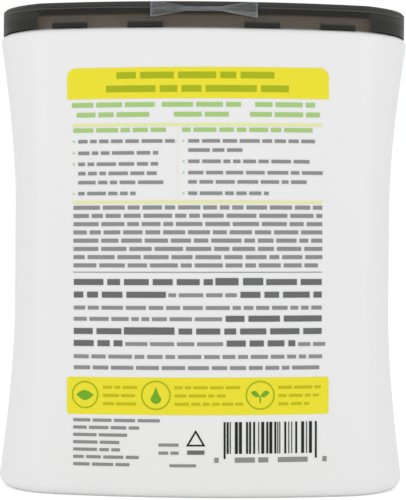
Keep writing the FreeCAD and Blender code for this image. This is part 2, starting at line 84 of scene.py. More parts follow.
def angle(name, text, degrees):
    """An angle, kept in radians."""
    return FloatProperty(
        name=name, description=text, default=math.radians(degrees), subtype="ANGLE", unit="ROTATION")


def colour(name, text, default):
    """A linear red, green and blue."""
    return FloatVectorProperty(
        name=name, description=text, default=default, subtype="COLOR", size=3, min=0, max=1)


class BottleSettings(bpy.types.PropertyGroup):
    """Sizes and colour of the white bottle."""

    panel_radius: length("Panel Radius", "Radius of the front and back panels in plan", 155 * MM)
    half_depth: length("Half Depth", "From the middle to the crown of a panel", 42.5 * MM)
    crease: length("Crease Place", "Distance of the soft upright creases from the middle", 55.2 * MM)
    waist: length("Waist", "Half width at the waist", 65.15 * MM)
    shoulder: length("Shoulder", "Half width under the closure", 70.5 * MM)
    foot: length("Foot", "Half width above the heel", 70.05 * MM)
    wall: length("Wall", "Thickness of the moulded wall", 1.3 * MM)
    crease_passes: IntProperty(name="Crease Softness", description="Smoothing passes", default=5, min=0)
    white: colour("White", "Colour of the bottle", (0.748, 0.752, 0.749))


class ClosureSettings(bpy.types.PropertyGroup):
    """Tint of the closure."""

    tint: colour("Tint", "Colour of the smoky plastic", (0.019, 0.019, 0.016))
    # Painted light: the warm colour stands in for the neck's light seen through the smoky ring.
    warm: colour("Warm Tint", "Its colour where light comes back from the neck", (0.086, 0.064, 0.040))
    # Also the colour of the painted highlights along the lugs' crests and the flap's lower lip.
    frost: colour("Frost", "Colour of its scuffed and frosted places", (0.13, 0.125, 0.12))
    # Also the colour of the painted highlights on the hinge's middle, edges and ends.
    stretch_white_and_highlight: colour("Stretched", "Colour of the plastic where the hinge stretches it", (0.22, 0.235, 0.245))
    cover: FloatProperty(name="Cover", description="How much one skin hides", default=0.48, min=0, max=1)


class TabletSettings(bpy.types.PropertyGroup):
    """Looks of the wrapped tablets."""

    powder: colour("Powder", "Colour of the pressed powder", (0.88, 0.90, 0.91))
    speckle: colour("Speckle", "Colour of the grains in it", (0.16, 0.42, 0.62))
    film: colour("Film", "Tint of the film", (0.72, 0.86, 0.90))
    seam: length("Seam", "Width of the flat seam round the film", 1.6 * MM)


class PrintSettings(bpy.types.PropertyGroup):
    """Inks of the back panel and how the print lies on it."""

    unit: length("Unit", "Size of one unit of the layout", 0.3325 * MM, precision=6)
    spread: FloatProperty(name="Spread", description="How much longer a unit is along the arc", default=1.016)
    lift: length("Lift", "Height of the bright bands, half that of other inks", 0.05 * MM, precision=6)
    height: length("Height", "Height of the layout's middle above the ground", 82.2 * MM)
    shift: length("Shift", "How far the layout sits off the middle", -1.65 * MM)
    turn: angle("Turn", "Turn of the layout on the panel", 0.475)
    yellow: colour("Yellow", "Bright bands", (0.738, 0.660, 0.029))
    lime: colour("Lime", "Rules", (0.72, 0.74, 0.26))
    olive: colour("Olive", "Heavy lines and rings on the bright bands", (0.34, 0.41, 0.006))
    moss: colour("Moss", "Small lines on the lower bright band", (0.465, 0.443, 0.005))
    leaf: colour("Leaf", "Motifs in the rings", (0.14, 0.36, 0.02))
    green: colour("Green", "Upper lines and bullets", (0.33, 0.53, 0.17))
    grey: colour("Grey", "Small lines", (0.235, 0.238, 0.236))
    slate: colour("Slate", "Heavy lines", (0.128, 0.130, 0.130))
    black: colour("Black", "Triangle and bars", (0.012, 0.013, 0.013))


class StageSettings(bpy.types.PropertyGroup):
    """Camera and light."""

    distance: length("Distance", "From the camera to the back panel", 700 * MM)
    eye: length("Eye Height", "Height of the camera", 82.2 * MM)
    side: length("Side", "How far the camera stands off the middle", 0.33 * MM, precision=5)
    lens: FloatProperty(name="Lens", description="Focal length in millimetres", default=152.7)
    roll: angle("Roll", "Turn of the picture", 0.475)
    dome: FloatProperty(name="Dome", description="Strength of the even light from all round", default=0.79)


# Meshes

def link_piece(name, points, faces, materials, body=None, smooth=True, bands=None):
    """Makes a mesh of the points and faces.  With a body it rides on that, and a slot names its finish."""
    mesh = bpy.data.meshes.new(name)
    mesh.from_pydata(points.tolist(), [], faces)
    for material in materials:
        mesh.materials.append(material)
    mesh.polygons.foreach_set("use_smooth", [smooth] * len(mesh.polygons))
    if bands is not None:
        mesh.polygons.foreach_set("material_index", bands)
    mesh.validate()
    mesh.update()
    piece = bpy.data.objects.new(name, mesh)
    bpy.context.scene.collection.objects.link(piece)
    if body is not None:
        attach(piece, body)
    return piece


def closed_skin(grid, start_pole, end_pole):
    """Points and faces of a tube of rows, each row a ring, closed with a fan to a pole at either end."""
    rows, columns, _ = grid.shape
    points = np.concatenate([grid.reshape(-1, 3), [start_pole, end_pole]])
    ring, following = np.arange(columns), np.roll(np.arange(columns), -1)
    row = columns * np.arange(rows - 1)[:, None]
    tube = np.stack([row + ring, row + following, row + columns + following, row + columns + ring], axis=-1)
    last, pole = columns * (rows - 1), columns * rows
    bottom = np.stack([np.full(columns, pole), following, ring], axis=-1)
    top = np.stack([np.full(columns, pole + 1), last + ring, last + following], axis=-1)
    return points, tube.reshape(-1, 4).tolist() + bottom.tolist() + top.tolist()


def quarter(steps):
    """Sine and cosine along a quarter of a circle."""
    turn = np.radians(np.linspace(0, 90, steps))
    return np.sin(turn), np.cos(turn)


# Bottle

PANEL_COLUMNS, SIDE_COLUMNS = 108, 66
WAIST_LOW, WAIST_HIGH = 64 * MM, 96 * MM
HEEL_TOP, SHOULDER_LOW = 4.2 * MM, 153.3 * MM
CLOSURE_HALF_WIDTH, CLOSURE_HALF_DEPTH = 69.9 * MM, 41.9 * MM


def flare(share):
    """How far the side has grown from the waist towards an end: u^2 (1.4 - 0.4 u)."""
    return share**2 * (1.4 - 0.4 * share)


def half_width(height, shape):
    """Half width by height: level at the waist and flared from there to the heel and to the shoulder."""
    up = np.clip((height - WAIST_HIGH) / (SHOULDER_LOW - WAIST_HIGH), 0, 1)
    down = np.clip((WAIST_LOW - height) / (WAIST_LOW - HEEL_TOP), 0, 1)
    return shape.waist + (shape.shoulder - shape.waist) * flare(up) + (shape.foot - shape.waist) * flare(down)


def softened(values, passes):
    """Coordinates round a ring, where each pass takes the weighted mean of five neighbours (1 4 6 4 1)."""
    weights = (1, 4, 6, 4, 1)
    for _ in range(passes):
        shifted = [weight * np.roll(values, shift, axis=1) for shift, weight in enumerate(weights, -2)]
        values = sum(shifted) / sum(weights)
    return values


def plan_ring(width, depth, inset, shape):
    """Outline in plan at each height: a wide arc front and back, and each side a tighter arc of radius
    (reach^2 + rise^2) / (2 reach) through the widest point.  The arcs meet in a crease, which moves inwards
    with the inset along the line that halves its angle, and is then softened."""
    width, inset = width[:, None], inset[:, None]
    centre = depth - shape.panel_radius
    rise, reach = math.sqrt(shape.panel_radius**2 - shape.crease**2) + centre, width - shape.crease
    side_turn = np.arcsin(2 * reach * rise / (reach**2 + rise**2))
    panel_turn = math.asin(shape.crease / shape.panel_radius)
    bisector = (math.pi / 2 - panel_turn + side_turn) / 2
    half_angle = (math.pi / 2 - panel_turn - side_turn) / 2
    corner = shape.crease - inset * np.cos(bisector) / np.cos(half_angle)

    radius = shape.panel_radius - inset
    rise, reach = np.sqrt(radius**2 - corner**2) + centre, width - inset - corner
    side_radius = (reach**2 + rise**2) / (2 * reach)
    side_centre = width - inset - side_radius
    panel = np.arcsin(corner / radius) * (np.arange(PANEL_COLUMNS) / PANEL_COLUMNS * 2 - 1)
    side = np.arcsin(rise / side_radius) * (np.arange(SIDE_COLUMNS) / SIDE_COLUMNS * 2 - 1)
    panel_x, panel_y = radius * np.sin(panel), -centre - radius * np.cos(panel)
    side_x, side_y = side_centre + side_radius * np.cos(side), side_radius * np.sin(side)
    x = np.concatenate([panel_x, side_x, -panel_x, -side_x], axis=1)
    y = np.concatenate([panel_y, side_y, -panel_y, -side_y], axis=1)
    return softened(x, shape.crease_passes), softened(y, shape.crease_passes)


def bottle_profile(shape):
    """Heights, insets, and a 1 where a row follows the closure's outline instead of the bottle's own.  The
    rows run from the hollow base over heel, flared wall, shoulder, neck, bead and mouth to the inside."""
    parts = []

    def add(heights, insets, on_neck=0.0):
        """Adds rows that are given in millimetres."""
        row = np.broadcast_arrays(MM * np.asarray(heights), MM * np.asarray(insets), on_neck)
        parts.append(np.stack(row, axis=-1))

    wall, heel, shoulder = shape.wall / MM, 4.0, 2.5
    ledge, bead, mouth = 156.0, 159.2, 160.6
    neck, bore = 3.0, 4.4
    sine, cosine = quarter(8)
    add([1.0, 1.0, 0.9, 0.6, 0.3, 0.08, 0, 0], [14, 9.9, 9.35, 9.1, 8.95, 8.6, 8.1, 4.6])
    add(heel - heel * cosine, heel - heel * sine)
    add(np.linspace(6, 62, 17), 0)
    add(np.linspace(66, 94, 6), 0)
    add(np.linspace(97, 153, 20), 0)
    add(ledge - shoulder + shoulder * sine, shoulder - shoulder * cosine)
    add([ledge, ledge + 0.08, ledge + 0.4], [neck - 0.15, neck - 0.02, neck], 1.0)
    add([bead - 0.3, bead - 0.05, bead], [neck, neck, neck - 0.1], 1.0)
    add([bead, bead + 0.1, mouth - 0.7, mouth - 0.1, mouth, mouth], [2.05, 1.9, 1.9, 2.5, 2.65, 2.8], 1.0)
    add([mouth, mouth - 0.1, mouth - 0.4], [bore - 0.3, bore - 0.1, bore], 1.0)
    add([ledge, ledge - 1.1, ledge - 1.3], [bore, bore, bore - 0.2], 1.0)
    add([ledge - 1.3, ledge - 1.5, ledge - 2.4], [wall + 0.6, wall + 0.1, wall])
    add(np.linspace(150, 98, 12), wall)
    add([94, 80, 66], wall)
    add(np.linspace(62, 7, 12), wall)
    add([4.6, 3.2, 2.5, 2.2, 2.2], [wall, wall + 0.25, wall + 0.8, wall + 2, 12])
    return np.concatenate(parts)


class TUB_OT_mould_bottle(bpy.types.Operator):
    """Moulds the white bottle as one closed skin, from its base up, over the mouth and down the inside"""

    bl_idname = "tub.mould_bottle"
    bl_label = "Mould Bottle"

    def execute(self, context):
        shape = context.scene.tub_bottle
        height, inset, on_neck = bottle_profile(shape).T
        wall_x, wall_y = plan_ring(half_width(height, shape), shape.half_depth, inset, shape)
        neck_x, neck_y = plan_ring(np.full(len(height), CLOSURE_HALF_WIDTH), CLOSURE_HALF_DEPTH, inset, shape)
        neck = on_neck[:, None] > 0
        x, y = np.where(neck, neck_x, wall_x), np.where(neck, neck_y, wall_y)
        grid = np.stack([x, y, np.broadcast_to(height[:, None], x.shape)], axis=-1)
        points, faces = closed_skin(grid, (0, 0, height[0]), (0, 0, height[-1]))
        bottle = link_piece("bottle_shell", points, faces, [white_plastic(shape)], BOTTLE)
        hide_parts("tub")
        return {"FINISHED"}


# Finishes

class Value:
    """A socket that takes part in Python arithmetic; every operation adds a Math node."""

    def __init__(self, recipe, socket):
        self.recipe, self.socket = recipe, socket

    def maths(self, operation, *terms):
        """A Math node of this kind."""
        return self.recipe.node("ShaderNodeMath", {"operation": operation}, dict(enumerate(terms)))

    def __add__(self, other):
        return self.maths("ADD", self, other)

    def __radd__(self, other):
        return self.maths("ADD", other, self)

    def __sub__(self, other):
        return self.maths("SUBTRACT", self, other)

    def __rsub__(self, other):
        return self.maths("SUBTRACT", other, self)

    def __mul__(self, other):
        return self.maths("MULTIPLY", self, other)

    def __rmul__(self, other):
        return self.maths("MULTIPLY", other, self)

    def __pow__(self, other):
        return self.maths("POWER", self, other)

    def __abs__(self):
        return self.maths("ABSOLUTE", self)

    def __lt__(self, other):
        return self.maths("LESS_THAN", self, other)

    def __gt__(self, other):
        return self.maths("GREATER_THAN", self, other)


class Recipe:
    """Nodes under construction, of a material or of the world."""

    def __init__(self, owner):
        owner.use_nodes = True
        self.tree = owner.node_tree
        self.tree.nodes.clear()

    def node(self, kind, settings, inputs, output=0):
        """Adds a node, applies its settings, then sets or links its inputs, and returns one output."""
        node = self.tree.nodes.new(kind)
        for key, setting in settings.items():
            setattr(node, key, setting)
        for key, value in inputs.items():
            if isinstance(value, Value):
                self.tree.links.new(value.socket, node.inputs[key])
            elif isinstance(value, tuple) and node.inputs[key].type == "RGBA":
                node.inputs[key].default_value = (*value, 1.0)
            else:
                node.inputs[key].default_value = value
        return Value(self, node.outputs[output]) if len(node.outputs) else None

    def greatest(self, first, second):
        """The greater of two values."""
        return self.node("ShaderNodeMath", {"operation": "MAXIMUM"}, {0: first, 1: second})

    def least(self, first, second):
        """The smaller of two values."""
        return self.node("ShaderNodeMath", {"operation": "MINIMUM"}, {0: first, 1: second})


class Finish(Recipe):
    """A material under construction, whose patterns lie in the object's own coordinates."""

    def __init__(self, name):
        self.material = bpy.data.materials.new(name)
        super().__init__(self.material)
        self.place = self.node("ShaderNodeTexCoord", {}, {}, "Object")

    def axes(self):
        """The three object coordinates, in metres."""
        split = self.node("ShaderNodeSeparateXYZ", {}, {0: self.place})
        return tuple(Value(self, split.socket.node.outputs[axis]) for axis in "XYZ")

    def noise(self, scale, detail, roughness=0.5, vector=None):
        """Soft noise from 0 to 1, with this many lumps to a metre."""
        inputs = {"Vector": vector or self.place, "Scale": scale, "Detail": detail, "Roughness": roughness}
        return self.node("ShaderNodeTexNoise", {}, inputs)

    def cells(self, scale):
        """Distance to the nearest of many scattered points."""
        inputs = {"Vector": self.place, "Scale": scale}
        return self.node("ShaderNodeTexVoronoi", {"feature": "F1"}, inputs, "Distance")

    def stretch(self, x, y, z):
        """Object coordinates scaled along each axis."""
        return self.node("ShaderNodeVectorMath", {"operation": "MULTIPLY"}, {0: self.place, 1: (x, y, z)})

    def step(self, value, low, high, curve="SMOOTHSTEP"):
        """0 below low, 1 above high and smooth between."""
        inputs = {"Value": value, "From Min": low, "From Max": high, "To Min": 0.0, "To Max": 1.0}
        return self.node("ShaderNodeMapRange", {"interpolation_type": curve, "clamp": True}, inputs)

    def ramp(self, value, low, high):
        """0 below low, 1 above high and straight between."""
        return self.step(value, low, high, "LINEAR")

    def mix(self, factor, first, second):
        """The first colour where the factor is 0 and the second where it is 1."""
        return self.node("ShaderNodeMix", {"data_type": "RGBA"}, {0: factor, 6: first, 7: second}, 2)

    def bump(self, height, distance, strength, normal=None):
        """A normal from a height of 0 to 1 times the distance in metres."""
        inputs = {"Height": height, "Distance": distance, "Strength": strength}
        if normal is not None:
            inputs["Normal"] = normal
        return self.node("ShaderNodeBump", {}, inputs)

    def done(self, **sockets):
        """The material, ended in a Principled BSDF, whose sockets are named with low lines for blanks."""
        inputs = {key.replace("_", " "): value for key, value in sockets.items()}
        shader = self.node("ShaderNodeBsdfPrincipled", {}, inputs)
        self.node("ShaderNodeOutputMaterial", {}, {"Surface": shader})
        return self.material


def darker(shade, share):
    """A colour with this share of its light."""
    return tuple(channel * share for channel in shade)


def white_plastic(shape):
    """Satin white blown plastic: faint flow marks, an orange-peel skin and the mould's hair line."""
    finish = Finish("white_blown_plastic")
    _, y, z = finish.axes()
    flow = finish.noise(9.0, 3.0, vector=finish.stretch(1.0, 1.0, 0.25))
    peel = finish.noise(620.0, 2.0)
    grain = finish.noise(2600.0, 1.0)
    scuff = finish.step(finish.noise(75.0, 4.0, 0.62), 0.60, 0.74)
    foot = 1.0 - finish.step(z, 0.0, 9 * MM)
    seam = 1.0 - finish.step(abs(y), 0.10 * MM, 0.28 * MM)
    white = tuple(shape.white)
    shade = finish.mix(flow, darker(white, 0.985), white)
    shade = finish.mix(seam * 0.25 + foot * scuff * 0.35, shade, darker(white, 0.86))
    relief = finish.bump(peel, 0.035 * MM, 0.55)
    relief = finish.bump(grain, 0.006 * MM, 0.35, relief)
    relief = finish.bump(seam, 0.10 * MM, 0.8, relief)
    return finish.done(Base_Color=shade, Roughness=0.36 + 0.07 * flow + 0.10 * scuff, Normal=relief, IOR=1.49)


# Closure

# Places and sizes on the closure.  A fade is where a smooth step starts and ends.
LUG_PLACES, LUG_HALF = (19.4 * MM, 44.8 * MM), 5.95 * MM
LUG_TOP, LUG_CREST = 158.6 * MM, 158.3 * MM
LUG_FADE, CREST_FADE = (157.2 * MM, 158.1 * MM), (0.2 * MM, 0.9 * MM)
PANEL_DEPTH = 24 * MM
# The first fade here brings in the painted shade on the ring's sides past the upright creases.
SIDE_SHADE_FADE, MOUTH_FADE = (55.0 * MM, 56.6 * MM), (159.6 * MM, 160.7 * MM)
SKIRT_PANEL_CENTRE, SKIRT_PANEL_RADIUS = -113.1 * MM, 153.4 * MM
SKIRT_SIDE_CENTRE, SKIRT_SIDE_RADIUS, SKIRT_SIDE_FROM = 28.3 * MM, 40.1 * MM, 45 * MM
SKIRT_FADE = (0.0, 0.3 * MM)
LIP_HEIGHT, LIP_FADE = 162.42 * MM, (0.12 * MM, 0.44 * MM)


def lugged_wall(finish, settings, tint, frost, cover):
    """The ring's wall: warm where the white neck shows through it, which is painted light from the neck;
    denser past the upright creases, which is painted shade on the sides;
    denser above the neck and at the lower part of each lug; and pale along the lugs' crests, which is a
    painted highlight."""
    x, y, z = finish.axes()
    reach = abs(x)
    inner, outer = (abs(reach - place) < LUG_HALF for place in LUG_PLACES)
    lug = (outer + inner) * (abs(y) > PANEL_DEPTH)
    # Painted highlight: a pale line along each lug's crest, where its ridge catches the light.
    crest = lug * (1.0 - finish.step(abs(z - LUG_CREST), *CREST_FADE))
    low = lug * (z < LUG_TOP) * (1.0 - 0.6 * finish.step(z, *LUG_FADE))
    # Painted shade: the wall is made denser, and so darker, past the upright creases, where the sides turn
    # away from the light.
    ends = finish.step(reach, *SIDE_SHADE_FADE)
    above = finish.step(z, *MOUTH_FADE)
    # Painted light: warm colour where the white neck stands behind the wall, away from the sides, the mouth
    # and the lugs.
    neck_light_mask = (1.0 - ends) * (1.0 - above) * (1.0 - low)
    cloud = finish.noise(55.0, 2.0, vector=finish.stretch(1.0, 1.0, 0.5))
    cover = cover - 0.05 + 0.12 * cloud + 0.34 * low + 0.32 * ends + 0.20 * above
    return finish.mix(neck_light_mask, tint, tuple(settings.warm)), frost + crest * 0.40, cover


def skirted_rim(finish, frost, cover):
    """The flap: denser where its skirt stands, which is outside an arc at the panels and a tighter one at the
    sides, and pale along the skirt's lower lip, which is a painted highlight where its rounded edge catches
    the light."""
    x, y, z = finish.axes()
    reach, deep = abs(x), abs(y)
    panel = ((deep - SKIRT_PANEL_CENTRE) ** 2.0 + reach**2.0) ** 0.5 - SKIRT_PANEL_RADIUS
    side = ((reach - SKIRT_SIDE_CENTRE) ** 2.0 + deep**2.0) ** 0.5 - SKIRT_SIDE_RADIUS
    skirt = finish.step(finish.greatest(panel, side * (reach > SKIRT_SIDE_FROM)), *SKIRT_FADE)
    # Painted highlight: a pale line along the skirt's lower lip, where its rounded edge catches the light.
    lip = 1.0 - finish.step(abs(z - LIP_HEIGHT), *LIP_FADE)
    return frost + 0.50 * lip * skirt, cover + 0.06 + 0.38 * skirt


def smoky_plastic(settings, name, gloss=0.11, milk=0.0, lugs=False, rim=False):
    """Smoky clear plastic, hazy with fine flow lines and scratches.  Each of the wall's two skins hides a
    part of what is behind it."""
    finish = Finish(name)
    haze = finish.noise(38.0, 3.0, vector=finish.stretch(1.0, 1.0, 2.5))
    scratch = finish.step(finish.noise(160.0, 3.0, 0.6, vector=finish.stretch(1.0, 1.0, 9.0)), 0.62, 0.72)
    tint = tuple(settings.tint)
    frost = 0.08 * haze + 0.08 * scratch + milk
    cover = settings.cover + 0.06 * haze
    if lugs:
        tint, frost, cover = lugged_wall(finish, settings, tint, frost, cover)
    if rim:
        frost, cover = skirted_rim(finish, frost, cover)
    # The pale colour goes on the real haze and scratches, and on the painted highlights from the ring's lug
    # crests and the flap's lip.
    shade = finish.mix(frost, tint, tuple(settings.frost))
    relief = finish.bump(finish.noise(700.0, 1.0), 0.003 * MM, 0.3)
    return finish.done(
        Base_Color=shade, Roughness=0.34 + 0.14 * haze, Alpha=cover, Normal=relief, IOR=1.5,
        Specular_IOR_Level=gloss)


class TUB_OT_tint_closure(bpy.types.Operator):
    """Gives ring, flap and tamper tab their smoky plastic"""

    bl_idname = "tub.tint_closure"
    bl_label = "Tint Closure"

    def execute(self, context):
        settings = context.scene.tub_closure
        looks = {
            "lid_ring": smoky_plastic(settings, "smoky_ring", lugs=True),
            "flap": smoky_plastic(settings, "smoky_flap", gloss=0.08, rim=True),
            "tear_tab": smoky_plastic(settings, "smoky_tab", milk=0.22),
        }
        for name, material in looks.items():
            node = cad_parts[name]
            node.data.materials.clear()
            node.data.materials.append(material)
        return {"FINISHED"}


# Hinge

PARTING, PARTING_GAP = 162.25 * MM, 0.1 * MM
STRAP_HALF, TIE_HALF = 5.9 * MM, 17.8 * MM
TIE_FACE, TIE_THICKNESS, TIE_ROUND = -41.95 * MM, 1.1 * MM, 0.22 * MM
TIE_ROWS, CORNER_STEPS = 90, 5
LOWER_REACH, LOWER_END_REACH, LOWER_SLANT = 1.1 * MM, 3.1 * MM, 17.4 * MM
UPPER_REACH, UPPER_END_REACH, UPPER_SLANT = 0.6 * MM, 2.0 * MM, 14.9 * MM
BEND_HALF, BEND_MIDDLE = TIE_HALF - 0.2 * MM, TIE_FACE + 0.16 * MM
BEND_HALF_DEPTH, BEND_HALF_HEIGHT, BEND_REACH = 0.15 * MM, 0.55 * MM, 0.3 * MM
BEND_ROWS, BEND_COLUMNS = 49, 24


def frosted_plastic(settings):
    """Smoky plastic gone white where the hinge stretches it: streaks run to the narrow middle.  The middle
    and every edge and end of the tie are paler still, a painted highlight broken up by noise.
    """
    finish = Finish("frosted_hinge")
    x, _, z = finish.axes()
    reach = abs(x)
    low_share = finish.ramp(reach, STRAP_HALF, LOWER_SLANT)
    high_share = finish.ramp(reach, STRAP_HALF, UPPER_SLANT)
    low = PARTING - LOWER_REACH - (LOWER_END_REACH - LOWER_REACH) * low_share
    high = PARTING + UPPER_REACH + (UPPER_END_REACH - UPPER_REACH) * high_share
    edge = 1.0 - finish.step(finish.least(abs(z - low), abs(z - high)), 0.10 * MM, 0.45 * MM)
    end = finish.step(reach, TIE_HALF - 0.9 * MM, TIE_HALF - 0.4 * MM)
    streak = finish.step(finish.noise(260.0, 3.0, 0.6, vector=finish.stretch(0.30, 1.0, 2.6)), 0.25, 0.75)
    # Painted highlight: paler towards the narrow middle of the tie and along every edge and both ends, broken
    # up by noise.
    neck = 1.0 - finish.step(reach, 6.0 * MM, 15.0 * MM)
    scuff_and_highlight = finish.noise(190.0, 2.0)
    pale = 0.16 + 0.46 * streak + 0.08 * neck + (0.85 * edge + 0.45 * end) * scuff_and_highlight * (1.0 - 0.6 * neck)
    shade = finish.mix(pale, tuple(settings.tint), tuple(settings.stretch_white_and_highlight))
    relief = finish.bump(streak, 0.10 * MM, 0.6)
    cover = 0.62 + 0.26 * finish.step(pale, 0.2, 0.8)
    return finish.done(Base_Color=shade, Roughness=0.24 + 0.12 * streak, Alpha=cover, Normal=relief, IOR=1.5)


def tie_half(name, way, middle_reach, end_reach, slant, body, material):
    """Half of the bow-tie on the back of the closure: a plate whose far edge runs level over the strap and
    then slants out in a straight line to the slant's end.  Its section is a box with round front corners."""
    along = np.linspace(-TIE_HALF, TIE_HALF, TIE_ROWS)
    share = np.clip((np.abs(along) - STRAP_HALF) / (slant - STRAP_HALF), 0, 1)
    tall = middle_reach + (end_reach - middle_reach) * share - PARTING_GAP / 2
    sine, cosine = quarter(CORNER_STEPS)
    falling, growing = TIE_ROUND * (1 - sine), TIE_ROUND * (1 - cosine)
    depth = np.concatenate([falling, growing, [TIE_THICKNESS, TIE_THICKNESS]])
    offset = np.concatenate([growing, -falling, [0, 0]])
    far = np.concatenate([np.zeros(CORNER_STEPS), np.ones(CORNER_STEPS), [1, 0]])
    rise = PARTING_GAP / 2 + offset + far * tall[:, None]
    grid = np.stack(np.broadcast_arrays(along[:, None], TIE_FACE + depth, PARTING + way * rise), axis=-1)
    if way > 0:
        grid = grid[:, ::-1]
    ends = [(x, TIE_FACE + TIE_THICKNESS / 2, PARTING + way * end_reach / 2) for x in (-TIE_HALF, TIE_HALF)]
    points, faces = closed_skin(grid, *ends)
    return link_piece(name, points, faces, [material], body)


def hinge_film(material):
    """The bent film between the halves: a rod whose section is an ellipse, y = a sin t and z = b cos t."""
    turn = np.linspace(0, 2 * np.pi, BEND_COLUMNS, endpoint=False)
    along = np.linspace(-BEND_HALF, BEND_HALF, BEND_ROWS)
    y, z = BEND_MIDDLE - BEND_HALF_DEPTH * np.sin(turn), PARTING + BEND_HALF_HEIGHT * np.cos(turn)
    grid = np.stack(np.broadcast_arrays(along[:, None], y, z), axis=-1)
    ends = [(x, BEND_MIDDLE, PARTING) for x in (-BEND_HALF, BEND_HALF)]
    points, faces = closed_skin(grid[:, ::-1], *ends)
    return link_piece("hinge_film", points, faces, [material])


class TUB_OT_form_hinge(bpy.types.Operator):
    """Lays the frosted bow-tie of the hinge in two halves, with the bent film between them"""

    bl_idname = "tub.form_hinge"
    bl_label = "Form Hinge"

    def execute(self, context):
        material = frosted_plastic(context.scene.tub_closure)
        tie_half("hinge_tie_ring", -1, LOWER_REACH, LOWER_END_REACH, LOWER_SLANT, BOTTLE, material)
        tie_half("hinge_tie_flap", 1, UPPER_REACH, UPPER_END_REACH, UPPER_SLANT, FLAP, material)
        film = hinge_film(material)
        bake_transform(film)
        return {"FINISHED"}


# Tablets

TABLET_COLUMNS, WRAP_COLUMNS = 28, 36
SQUARENESS = 5.0
TABLET_SHARE = (0.80, 0.78, 0.88)
WRAP_CROWN, WRAP_EDGE = 0.97, 0.1 * MM
RIPPLES, RIPPLE_RISE, RIPPLE_SHIFT = 9, 0.16 * MM, 1.7


def square_round(turn, half_x, half_y):
    """Radius of a squared circle: (|cos/a|^n + |sin/b|^n)^(-1/n)."""
    reach = np.abs(np.cos(turn) / half_x) ** SQUARENESS + np.abs(np.sin(turn) / half_y) ** SQUARENESS
    return reach ** (-1 / SQUARENESS)


def stacked_rings(centre, turn, radius, rise):
    """A grid of rings round an upright line, each row with its own radius and rise."""
    x, y, z = centre[0] + radius * np.cos(turn), centre[1] + radius * np.sin(turn), centre[2] + rise
    return np.stack(np.broadcast_arrays(x, y, z), axis=-1)


def pressed_tablet(centre, half):
    """Squared rings stacked from the lower face over its bevel, up the wall and over the upper bevel."""
    turn = np.linspace(0, 2 * np.pi, TABLET_COLUMNS, endpoint=False)
    out = np.array([0.55, 0.86, 0.95, 1.0, 1.0, 0.95, 0.86, 0.55])
    up = np.array([-0.97, -0.97, -0.86, -0.62, 0.62, 0.86, 0.97, 0.97])
    half_x, half_y, half_z = half * TABLET_SHARE
    radius = square_round(turn, half_x, half_y) * out[:, None]
    grid = stacked_rings(centre, turn, radius, up[:, None] * half_z)
    return closed_skin(grid, (*centre[:2], grid[0, 0, 2]), (*centre[:2], grid[-1, 0, 2]))


def crowned_film(centre, half, seam, phase):
    """Two crowned halves, which rise as (1 - u^5)^0.62 of their height, and meet in a flat seam that ripples
    more towards its edge, with the sixth power of the distance."""
    turn = np.linspace(0, 2 * np.pi, WRAP_COLUMNS, endpoint=False)
    share = np.array([0.30, 0.58, 0.78, 0.88, 0.95, 1.0])
    inner = (1 - seam / half[1]) * share
    crown = WRAP_CROWN * half[2] * (1 - share**5) ** 0.62
    rise = np.concatenate([-crown, [-WRAP_EDGE, WRAP_EDGE], crown[::-1]])
    reach = np.concatenate([inner, [1.0, 1.0], inner[::-1]])[:, None]
    ripple = reach**6 * RIPPLE_RISE * np.sin(RIPPLES * turn + phase)
    radius = square_round(turn, half[0], half[1]) * reach
    grid = stacked_rings(centre, turn, radius, rise[:, None] + ripple)
    return closed_skin(grid, (*centre[:2], centre[2] - half[2]), (*centre[:2], centre[2] + half[2]))


def wrapped_tablet(low, high, seam, phase):
    """A tablet and the film round it as one mesh, and for each face the number of its material."""
    centre, half = (low + high) / 2, (high - low) / 2
    tablet, tablet_faces = pressed_tablet(centre, half)
    film, film_faces = crowned_film(centre, half, seam, phase)
    faces = tablet_faces + [[corner + len(tablet) for corner in face] for face in film_faces]
    return np.concatenate([tablet, film]), faces, [0] * len(tablet_faces) + [1] * len(film_faces)


def pressed_powder(settings):
    """Pressed powder: matt, with grains of colour and small pits."""
    finish = Finish("pressed_powder")
    sparse = finish.step(finish.noise(420.0, 2.0), 0.46, 0.54)
    speck = finish.step(0.26 - finish.cells(900.0), 0.0, 0.06) * sparse
    cloud = finish.noise(110.0, 3.0)
    powder = tuple(settings.powder)
    base = finish.mix(cloud, powder, darker(powder, 0.9))
    shade = finish.mix(speck, base, tuple(settings.speckle))
    relief = finish.bump(finish.noise(1300.0, 3.0, 0.65), 0.12 * MM, 0.8)
    return finish.done(Base_Color=shade, Roughness=0.86 + 0.08 * cloud, Normal=relief)


def clear_film(settings):
    """Thin clear film: almost unseen face on, glossy, with fine stretch creases."""
    finish = Finish("clear_film")
    crease = finish.noise(240.0, 3.0, 0.6, vector=finish.stretch(1.0, 1.0, 0.4))
    edge = finish.node("ShaderNodeLayerWeight", {}, {"Blend": 0.35}, "Facing")
    shade = finish.mix(crease, tuple(settings.film), (0.95, 0.97, 0.98))
    relief = finish.bump(crease, 0.25 * MM, 0.7)
    cover = 0.16 + 0.34 * edge + 0.08 * crease
    return finish.done(Base_Color=shade, Roughness=0.10 + 0.10 * crease, Alpha=cover, Normal=relief, IOR=1.48)


class TUB_OT_wrap_tablets(bpy.types.Operator):
    """Puts a film-wrapped tablet in the place of each cushion of the stack"""

    bl_idname = "tub.wrap_tablets"
    bl_label = "Wrap Tablets"

    def execute(self, context):
        settings = context.scene.tub_tablets
        materials = [pressed_powder(settings), clear_film(settings)]
        for number, node in enumerate(PACK_NODES):
            low, high = (np.array(corner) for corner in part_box(node))
            points, faces, bands = wrapped_tablet(low, high, settings.seam, RIPPLE_SHIFT * number)
            name = f"wrapped_tablet_{number + 1:02d}"
            pack = link_piece(name, points, faces, materials, BOTTLE, bands=bands)
            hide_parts(node)
        return {"FINISHED"}


# Print

